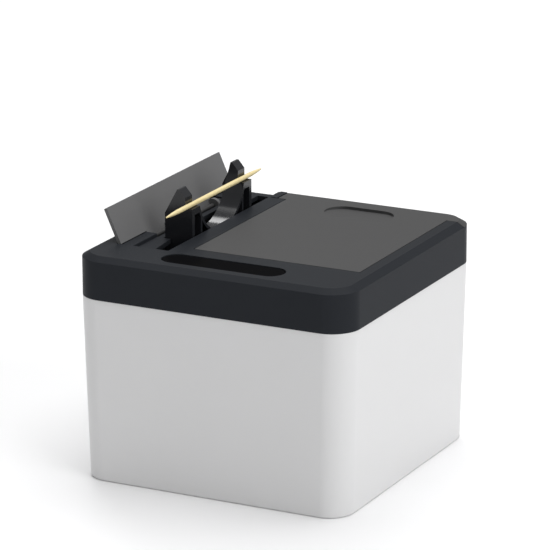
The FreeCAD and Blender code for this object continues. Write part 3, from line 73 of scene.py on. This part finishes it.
class Board:  # one material's node tree
    def __init__(self, name):
        self.material = bpy.data.materials.new(name)
        self.material.use_nodes = True
        self.tree = self.material.node_tree
        self.tree.nodes.clear()
        self.shader = self.tree.nodes.new("ShaderNodeBsdfPrincipled")
        out = self.tree.nodes.new("ShaderNodeOutputMaterial")
        self.tree.links.new(self.shader.outputs[0], out.inputs["Surface"])

    def feed(self, socket, value):
        if isinstance(value, Wire):
            self.tree.links.new(value.socket, socket)
        elif isinstance(value, (tuple, list)) and len(value) == 3 and len(socket.default_value) == 4:
            socket.default_value = (*value, 1.0)
        else:
            socket.default_value = value

    def add(self, kind, settings, *values, out=0, **named):
        node = self.tree.nodes.new(kind)
        for key, value in settings.items():
            if key == "stops":
                self.setStops(node.color_ramp, value)
            else:
                setattr(node, key, value)
        for index, value in enumerate(values):
            self.feed(node.inputs[index], value)
        for key, value in named.items():
            self.feed(node.inputs[key.replace("_", " ")], value)
        return Wire(self, node.outputs[out])

    def setStops(self, ramp, stops):
        while len(ramp.elements) > 1:
            ramp.elements.remove(ramp.elements[-1])
        ramp.elements[0].position = stops[0][0]
        ramp.elements[0].color = (*stops[0][1], 1.0)
        for place, colour in stops[1:]:
            ramp.elements.new(place).color = (*colour, 1.0)

    def place(self, stretch=(1.0, 1.0, 1.0)):
        here = self.add("ShaderNodeTexCoord", {}, out=3)
        return self.add("ShaderNodeMapping", {}, Vector=here, Scale=stretch)

    def noise(self, place, size, detail=3.0, roughness=0.5):
        amounts = {"Scale": 1 / size, "Detail": detail, "Roughness": roughness}
        return self.add("ShaderNodeTexNoise", {}, Vector=place, **amounts)

    def mix(self, amount, first, second):
        node = self.tree.nodes.new("ShaderNodeMix")
        node.data_type = "RGBA"
        for index, value in ((0, amount), (6, first), (7, second)):  # the colour sockets of the node
            self.feed(node.inputs[index], value)
        return Wire(self, node.outputs[2])

    def ramp(self, value, stops):
        return self.add("ShaderNodeValToRGB", {"stops": stops}, value)

    def bump(self, height, depth):
        return self.add("ShaderNodeBump", {}, Height=height, Distance=depth, Strength=1.0)

    def finish(self, **sockets):
        for key, value in sockets.items():
            self.feed(self.shader.inputs[key.replace("_", " ")], value)
        return self.material


# moulded plastics: base colour and how much it varies, grain size and depth in millimetres, roughness,
# and how strongly the surface mirrors
plastics = {
    "shellWhite": {
        "colour": (0.70, 0.70, 0.703), "shift": 0.02, "grain": 0.35, "depth": 0.004,
        "rough": 0.38, "sheen": 0.40,
    },
    "capCharcoal": {
        "colour": (0.0218, 0.0240, 0.0282), "shift": 0.08, "grain": 0.22, "depth": 0.006,
        "rough": 0.42, "sheen": 0.04,
    },
    "forkCharcoal": {
        "colour": (0.0150, 0.0158, 0.0185), "shift": 0.08, "grain": 0.30, "depth": 0.004,
        "rough": 0.17, "sheen": 0.45,
    },
    # the flap's grey is the lid's plastic painted about three times lighter: painted light standing in for
    # the light falling on the flap's inner face
    "flapGreyPaintedLight": {
        "colour": (0.150, 0.150, 0.152), "shift": 0.05, "grain": 0.20, "depth": 0.008,
        "rough": 0.52, "sheen": 0.15,
    },
    "coverGrey": {
        "colour": (0.054, 0.054, 0.0545), "shift": 0.05, "grain": 0.20, "depth": 0.008,
        "rough": 0.52, "sheen": 0.18,
    },
    "innerGrey": {
        "colour": (0.42, 0.42, 0.43), "shift": 0.04, "grain": 0.40, "depth": 0.008,
        "rough": 0.50, "sheen": 0.40,
    },
    "naturalNylon": {
        "colour": (0.72, 0.70, 0.63), "shift": 0.05, "grain": 0.50, "depth": 0.004,
        "rough": 0.36, "sheen": 0.50,
    },
    "gearboxBlack": {
        "colour": (0.035, 0.035, 0.038), "shift": 0.10, "grain": 0.30, "depth": 0.010,
        "rough": 0.45, "sheen": 0.40,
    },
    "connectorCream": {
        "colour": (0.74, 0.69, 0.55), "shift": 0.04, "grain": 0.40, "depth": 0.004,
        "rough": 0.35, "sheen": 0.50,
    },
    "partBlack": {
        "colour": (0.012, 0.012, 0.013), "shift": 0.12, "grain": 0.25, "depth": 0.008,
        "rough": 0.42, "sheen": 0.40,
    },
    "cellSleeve": {
        "colour": (0.018, 0.018, 0.022), "shift": 0.10, "grain": 1.20, "depth": 0.006,
        "rough": 0.22, "sheen": 0.50,
    },
}
plasticGrain = {"cloud": 18.0, "cloudShare": 0.6, "grainShare": 0.4, "cloudRough": 0.06, "grainRough": 0.08}

# bare metals: colour, direction of the drawing marks, roughness
metals = {
    "screwSteel": {"colour": (0.56, 0.56, 0.57), "along": (1.0, 1.0, 0.2), "rough": 0.32},
    "springPlate": {"colour": (0.72, 0.71, 0.69), "along": (0.3, 1.0, 1.0), "rough": 0.20},
    "bushBrass": {"colour": (0.76, 0.55, 0.24), "along": (1.0, 0.3, 1.0), "rough": 0.28},
    "canAluminium": {"colour": (0.70, 0.70, 0.72), "along": (1.0, 1.0, 0.15), "rough": 0.28},
}
metalMarks = {"size": 0.25, "stain": 4.0, "darker": 0.82, "rough": 0.18, "depth": 0.003}

windowGloss = {
    "colour": (0.0040, 0.0040, 0.0045), "dusty": (0.0052, 0.0052, 0.0058), "dust": 0.3, "dustRough": 0.06,
    "rough": 0.16, "wave": 4.0, "depth": 0.002, "sheen": 0.001,
}
boardLook = {
    "mask": (0.012, 0.095, 0.035), "track": (0.03, 0.17, 0.06), "pitch": 1.6, "gap": 0.09, "offset": 0.37,
    "height": 0.03, "fleck": 0.5, "fleckRough": 0.10, "rough": 0.28,
}
domeLooks = {"domeClear": (0.45, 0.50, 0.60), "domeDark": (0.010, 0.010, 0.014)}
domeFinish = {"cloud": 1.5, "edge": 0.7, "cloudRough": 0.05, "rough": 0.10, "coat": 0.5}
woodLook = {
    "pale": (0.84, 0.73, 0.42), "mid": (0.78, 0.65, 0.34), "dark": (0.64, 0.49, 0.22),
    "darkUnder": 0.25, "midAt": 0.45, "paleOver": 0.65, "grain": 0.16, "stretch": 0.03, "cloud": 3.0,
    "cloudStretch": 0.2, "grainShare": 0.7, "cloudShare": 0.3, "grainRough": 0.2, "rough": 0.62,
    "depth": 0.02,
}


def mouldedPlastic(name):
    look = plastics[name]
    board = Board(name)
    place = board.place()
    broad = board.noise(place, plasticGrain["cloud"] * mm, 2.0)
    grain = board.noise(place, look["grain"] * mm, 3.0, 0.6)
    light = tuple(min(1.0, part * (1 + look["shift"])) for part in look["colour"])
    dark = tuple(part * (1 - look["shift"]) for part in look["colour"])
    tone = broad * plasticGrain["cloudShare"] + grain * plasticGrain["grainShare"]
    rough = (broad - 0.5) * plasticGrain["cloudRough"] + (grain - 0.5) * plasticGrain["grainRough"]
    board.finish(Base_Color=board.mix(tone, dark, light), Roughness=rough + look["rough"])
    board.finish(Specular_IOR_Level=look["sheen"])
    return board.finish(Normal=board.bump(grain, look["depth"] * mm))


def drawnMetal(name):
    look = metals[name]
    board = Board(name)
    marks = board.noise(board.place(look["along"]), metalMarks["size"] * mm, 4.0, 0.6)
    stain = board.noise(board.place(), metalMarks["stain"] * mm, 2.0)
    dark = tuple(part * metalMarks["darker"] for part in look["colour"])
    colour = board.mix(marks * 0.5 + stain * 0.5, dark, look["colour"])
    rough = (marks - 0.5) * metalMarks["rough"] + look["rough"]
    board.finish(Metallic=1.0, Base_Color=colour, Roughness=rough)
    return board.finish(Normal=board.bump(marks, metalMarks["depth"] * mm))


def polishedWindow(name):
    board = Board(name)
    place = board.place()
    wave = board.noise(place, windowGloss["wave"] * mm, 1.0)
    dust = board.noise(place, windowGloss["dust"] * mm, 2.0)
    rough = (dust - 0.5) * windowGloss["dustRough"] + windowGloss["rough"]
    board.finish(Base_Color=board.mix(dust, windowGloss["colour"], windowGloss["dusty"]), Roughness=rough)
    board.finish(Specular_IOR_Level=windowGloss["sheen"])
    return board.finish(Normal=board.bump(wave, windowGloss["depth"] * mm))


def circuitBoard(name):
    board = Board(name)
    closeness = 1 / boardLook["pitch"]
    place = board.place((closeness, closeness, closeness))
    tracks = board.add("ShaderNodeTexBrick", {"offset": boardLook["offset"]}, Vector=place, Scale=1 / mm,
                       Mortar_Size=boardLook["gap"], out=1)
    fleck = board.noise(board.place(), boardLook["fleck"] * mm)
    colour = board.mix(tracks, boardLook["mask"], boardLook["track"])
    rough = (fleck - 0.5) * boardLook["fleckRough"] + boardLook["rough"]
    board.finish(Base_Color=colour, Roughness=rough)
    return board.finish(Normal=board.bump(tracks, boardLook["height"] * mm))


def lensPlastic(name):
    board = Board(name)
    cloud = board.noise(board.place(), domeFinish["cloud"] * mm, 2.0)
    colour = domeLooks[name]
    edge = tuple(part * domeFinish["edge"] for part in colour)
    rough = (cloud - 0.5) * domeFinish["cloudRough"] + domeFinish["rough"]
    board.finish(Base_Color=board.mix(cloud, edge, colour), Roughness=rough)
    return board.finish(Coat_Weight=domeFinish["coat"])


def splitWood(name):
    board = Board(name)
    grain = board.noise(board.place((1.0, woodLook["stretch"], 1.0)), woodLook["grain"] * mm, 4.0, 0.65)
    cloud = board.noise(board.place((1.0, woodLook["cloudStretch"], 1.0)), woodLook["cloud"] * mm, 2.0)
    tone = grain * woodLook["grainShare"] + cloud * woodLook["cloudShare"]
    stops = [(woodLook["darkUnder"], woodLook["dark"]), (woodLook["midAt"], woodLook["mid"]),
             (woodLook["paleOver"], woodLook["pale"])]
    rough = (grain - 0.5) * woodLook["grainRough"] + woodLook["rough"]
    board.finish(Base_Color=board.ramp(tone, stops), Roughness=rough)
    return board.finish(Normal=board.bump(grain, woodLook["depth"] * mm))


materials = {name: mouldedPlastic(name) for name in plastics}
materials.update({name: drawnMetal(name) for name in metals})
materials.update({name: lensPlastic(name) for name in domeLooks})
materials["windowBlack"] = polishedWindow("windowBlack")
materials["boardGreen"] = circuitBoard("boardGreen")
materials["woodBeech"] = splitWood("woodBeech")
print("materials", len(materials))

# finish of each packed slot
slotLooks = {
    "white_shell": "shellWhite", "charcoal_cap": "capCharcoal", "charcoal_fork": "forkCharcoal",
    "grey_cover": "coverGrey", "black_window": "windowBlack", "cell_jacket": "cellSleeve",
    "plated_spring": "springPlate", "steel": "screwSteel", "inner_plastic": "innerGrey",
    "nylon": "naturalNylon", "gearbox_plastic": "gearboxBlack", "brass": "bushBrass",
    "circuit_board": "boardGreen", "clear_dome": "domeClear", "dark_dome": "domeDark",
    "black_part": "partBlack", "capacitor_can": "canAluminium", "connector": "connectorCream",
    "wood": "woodBeech",
}
nodeSlots = {part["node"]: part["material_slot"] for part in frame["record"]["subparts"]}
bodyNodes = frame["record"]["behaviour"]["bodies"]
nodeBodies = {node: body for body, nodes in bodyNodes.items() for node in nodes}
nodeLooks = {"flap_gear": "forkCharcoal"}  # pieces moulded in another colour than their slot's

for node, slotName in nodeSlots.items():
    meshData = frame["nodes"][node].data
    meshData.materials.clear()
    meshData.materials.append(materials[nodeLooks.get(node, slotLooks[slotName])])


def makePiece(name, mesh, node, look):
    shape = bpy.data.meshes.new(name)
    mesh.to_mesh(shape)
    mesh.free()
    piece = bpy.data.objects.new(name, shape)
    scene.collection.objects.link(piece)
    shape.materials.append(materials[look])
    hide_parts(node)
    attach(piece, nodeBodies[node])
    return piece


edgeStyle = {"angle": 28, "merge": 0.002, "flat": 0.8}  # degrees, millimetres, degrees


def smoothFaces(piece):
    for face in piece.data.polygons:
        face.use_smooth = True


def roundEdges(piece, width, segments):
    bevel = piece.modifiers.new("soft edges", "BEVEL")
    bevel.width = width * mm
    bevel.segments = segments
    bevel.limit_method = "ANGLE"
    bevel.angle_limit = math.radians(edgeStyle["angle"])
    bevel.use_clamp_overlap = True
    settle = piece.modifiers.new("settled normals", "WEIGHTED_NORMAL")
    settle.keep_sharp = True
    smoothFaces(piece)


# pieces whose sharp packed edges get the small radius of a moulding
mouldings = {
    "bodyCasing": {"node": "body_shell", "width": 0.30, "segments": 3},
    "capTop": {"node": "cap_frame", "width": 0.22, "segments": 2},
    "slidingLid": {"node": "hopper_lid", "width": 0.20, "segments": 2},
    # the flap gets the lid's grey painted lighter, painted light rather than its own colour
    "swingFlap": {"node": "flap", "width": 0.18, "segments": 2, "finish": "flapGreyPaintedLight"},
    "liftFork": {"node": "lift_fork", "width": 0.22, "segments": 2},
    "batteryCover": {"node": "battery_door", "width": 0.20, "segments": 2},
}


def softMoulding(name, look):
    mesh = bmesh.new()
    mesh.from_mesh(frame["nodes"][look["node"]].data)
    bmesh.ops.remove_doubles(mesh, verts=mesh.verts, dist=edgeStyle["merge"] * mm)
    bmesh.ops.dissolve_limit(mesh, angle_limit=math.radians(edgeStyle["flat"]), verts=mesh.verts,
                             edges=mesh.edges)
    finish = look.get("finish", slotLooks[nodeSlots[look["node"]]])
    roundEdges(makePiece(name, mesh, look["node"], finish), look["width"], look["segments"])


for name, look in mouldings.items():
    softMoulding(name, look)
print("mouldings", len(mouldings))


# the sensor window, a polished pill with a rounded rim
windowShape = {"rim": 0.45, "steps": 4, "corner": 24, "endShare": 0.999, "topSlope": 0.9, "flatTop": 0.95}


def sensorWindow():
    low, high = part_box("sensor_window")
    middle = (Vector(low) + Vector(high)) / 2
    size = Vector(high) - Vector(low)
    mesh = bmesh.new()
    bmesh.ops.create_cube(mesh, size=1.0)
    bmesh.ops.scale(mesh, verts=mesh.verts, vec=size)
    upright = [edge for edge in mesh.edges if abs(edge.verts[0].co.z - edge.verts[1].co.z) > size.z / 2]
    bmesh.ops.bevel(mesh, geom=upright, offset=size.y / 2 * windowShape["endShare"],
                    segments=windowShape["corner"], profile=0.5, affect="EDGES", material=-1)
    top = [face for face in mesh.faces if face.normal.z > windowShape["topSlope"]]
    rim = list(dict.fromkeys(edge for face in top for edge in face.edges))
    bmesh.ops.bevel(mesh, geom=rim, offset=windowShape["rim"] * mm, segments=windowShape["steps"],
                    profile=0.5, affect="EDGES", material=-1)
    bmesh.ops.translate(mesh, verts=mesh.verts, vec=middle)
    piece = makePiece("windowPill", mesh, "sensor_window", "windowBlack")
    for face in piece.data.polygons:
        face.use_smooth = face.normal.z < windowShape["flatTop"]


sensorWindow()
print("window")


# a round toothpick: sides, unevenness, and radius along it from the middle to the tip in millimetres
pickShape = {
    "sides": 20, "stackSides": 12, "wobble": 0.03, "around": 2, "along": 0.05,
    "liftedSeed": 1.0, "firstSeed": 2.0, "seedStep": 3.7,
    "profile": [(0.0, 0.80), (12.0, 0.80), (20.0, 0.79), (25.0, 0.76), (28.0, 0.62), (30.0, 0.46),
                (31.5, 0.32), (32.3, 0.22), (32.5, 0.12)],
}


def addPick(mesh, centre, seed, sides):
    around = pickShape["around"]
    stations = [(-reach, radius) for reach, radius in reversed(pickShape["profile"][1:])]
    stations += pickShape["profile"]
    ring = bmesh.ops.create_circle(mesh, cap_ends=True, segments=sides, radius=1.0)["verts"]
    bmesh.ops.rotate(mesh, verts=ring, cent=(0, 0, 0), matrix=Matrix.Rotation(math.radians(90), 3, "X"))
    edges = list(dict.fromkeys(edge for vert in ring for edge in vert.link_edges))
    rings = [ring]
    for _ in stations[1:]:
        grown = bmesh.ops.extrude_edge_only(mesh, edges=edges)["geom"]
        ring = [item for item in grown if isinstance(item, bmesh.types.BMVert)]
        edges = [item for item in grown if isinstance(item, bmesh.types.BMEdge)]
        rings.append(ring)
    bmesh.ops.contextual_create(mesh, geom=edges)
    for ring, (along, radius) in zip(rings, stations):
        for vert in ring:
            flat = Vector((vert.co.x, 0.0, vert.co.z))
            place = Vector((flat.x * around + seed, along * pickShape["along"], flat.z * around))
            flat *= radius * mm * (1 + pickShape["wobble"] * (noise.noise(place) - 1) / 2)
            vert.co = Vector(centre) + Vector((flat.x, along * mm, flat.z))


def liftedPick():
    low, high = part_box("lifted_toothpick")
    mesh = bmesh.new()
    addPick(mesh, (Vector(low) + Vector(high)) / 2, pickShape["liftedSeed"], pickShape["sides"])
    bmesh.ops.recalc_face_normals(mesh, faces=mesh.faces)
    smoothFaces(makePiece("liftedPick", mesh, "lifted_toothpick", "woodBeech"))


def looseCentres(node):
    mesh = bmesh.new()
    mesh.from_mesh(frame["nodes"][node].data)
    bmesh.ops.remove_doubles(mesh, verts=mesh.verts, dist=edgeStyle["merge"] * mm)
    centres = []
    left = set(mesh.verts)
    while left:
        seed = next(vert for vert in mesh.verts if vert in left)
        group = [seed]
        left.discard(seed)
        for vert in group:
            for edge in vert.link_edges:
                other = edge.other_vert(vert)
                if other in left:
                    left.discard(other)
                    group.append(other)
        low = Vector([min(vert.co[axis] for vert in group) for axis in range(3)])
        high = Vector([max(vert.co[axis] for vert in group) for axis in range(3)])
        centres.append((low + high) / 2)
    mesh.free()
    return centres


def refillPicks():
    mesh = bmesh.new()
    for index, centre in enumerate(looseCentres("toothpick_stack")):
        seed = pickShape["firstSeed"] + index * pickShape["seedStep"]
        addPick(mesh, centre, seed, pickShape["stackSides"])
    bmesh.ops.recalc_face_normals(mesh, faces=mesh.faces)
    smoothFaces(makePiece("refillPicks", mesh, "toothpick_stack", "woodBeech"))


liftedPick()
refillPicks()
print("toothpicks")


# photograph's camera: place in millimetres, bearing and height in degrees, field of view as a lens
cameraView = {
    "place": (533.95, -1054.47, 416.06), "bearing": 26.889, "height": 16.757, "roll": -0.212,
    "lens": 255.54, "sensor": 36.0, "reach": 20.0,
}


def addCamera():
    bearing = math.radians(cameraView["bearing"])
    height = math.radians(cameraView["height"])
    roll = math.radians(cameraView["roll"])
    right = Vector((math.cos(bearing), math.sin(bearing), 0.0))
    level = Vector((math.sin(bearing), -math.cos(bearing), 0.0))
    back = level * math.cos(height) + Vector((0.0, 0.0, math.sin(height)))
    up = back.cross(right)
    across = right * math.cos(roll) + up * math.sin(roll)
    rise = up * math.cos(roll) - right * math.sin(roll)
    lens = bpy.data.cameras.new("camera")
    lens.lens = cameraView["lens"]
    lens.sensor_width = cameraView["sensor"]
    lens.sensor_fit = "HORIZONTAL"
    lens.clip_end = cameraView["reach"]
    camera = bpy.data.objects.new("camera", lens)
    scene.collection.objects.link(camera)
    turn = Matrix((across, rise, back)).transposed()
    camera.matrix_world = Matrix.Translation(Vector(cameraView["place"]) * mm) @ turn.to_4x4()
    scene.camera = camera


# soft studio lights, all aimed at the object: place and size in metres, power in watts
studioLights = {
    "overhead": {"place": (0.1, 0.3, 1.6), "size": 1.6, "power": 21.0},
    "rightFill": {"place": (1.6, -0.5, 0.9), "size": 1.2, "power": 12.5},
    "frontFill": {"place": (-1.0, -1.6, 0.8), "size": 1.2, "power": 0.3},
    "backPanel": {"place": (-0.69, 0.84, 1.15), "size": 0.45, "power": 4.0},
}
lightsAim = (0, 0, 0.05)
studio = {"sky": (1.0, 1.0, 1.0), "skyStrength": 0.34, "floor": (0.94, 0.94, 0.945), "floorSize": 12.0,
          "cloud": 0.4, "darker": 0.985, "rough": 0.85}


def addLights():
    aim = Vector(lightsAim)
    for name, look in studioLights.items():
        lamp = bpy.data.lights.new(name, "AREA")
        lamp.size = look["size"]
        lamp.energy = look["power"]
        light = bpy.data.objects.new(name, lamp)
        scene.collection.objects.link(light)
        place = Vector(look["place"])
        turn = (place - aim).to_track_quat("Z", "Y").to_matrix()
        light.matrix_world = Matrix.Translation(place) @ turn.to_4x4()
    world = bpy.data.worlds.new("studio")
    scene.world = world
    world.use_nodes = True
    sky = world.node_tree.nodes["Background"]
    sky.inputs["Color"].default_value = (*studio["sky"], 1.0)
    sky.inputs["Strength"].default_value = studio["skyStrength"]


def addFloor():
    board = Board("studioFloor")
    cloud = board.noise(board.place(), studio["cloud"], 2.0)
    low = tuple(part * studio["darker"] for part in studio["floor"])
    board.finish(Base_Color=board.mix(cloud, low, studio["floor"]), Roughness=studio["rough"])
    mesh = bmesh.new()
    bmesh.ops.create_grid(mesh, x_segments=2, y_segments=2, size=studio["floorSize"] / 2)
    shape = bpy.data.meshes.new("floor")
    mesh.to_mesh(shape)
    mesh.free()
    floor = bpy.data.objects.new("floor", shape)
    scene.collection.objects.link(floor)
    shape.materials.append(board.material)


addCamera()
addLights()
addFloor()
scene.view_settings.view_transform = "Standard"
print("camera, lights and floor")
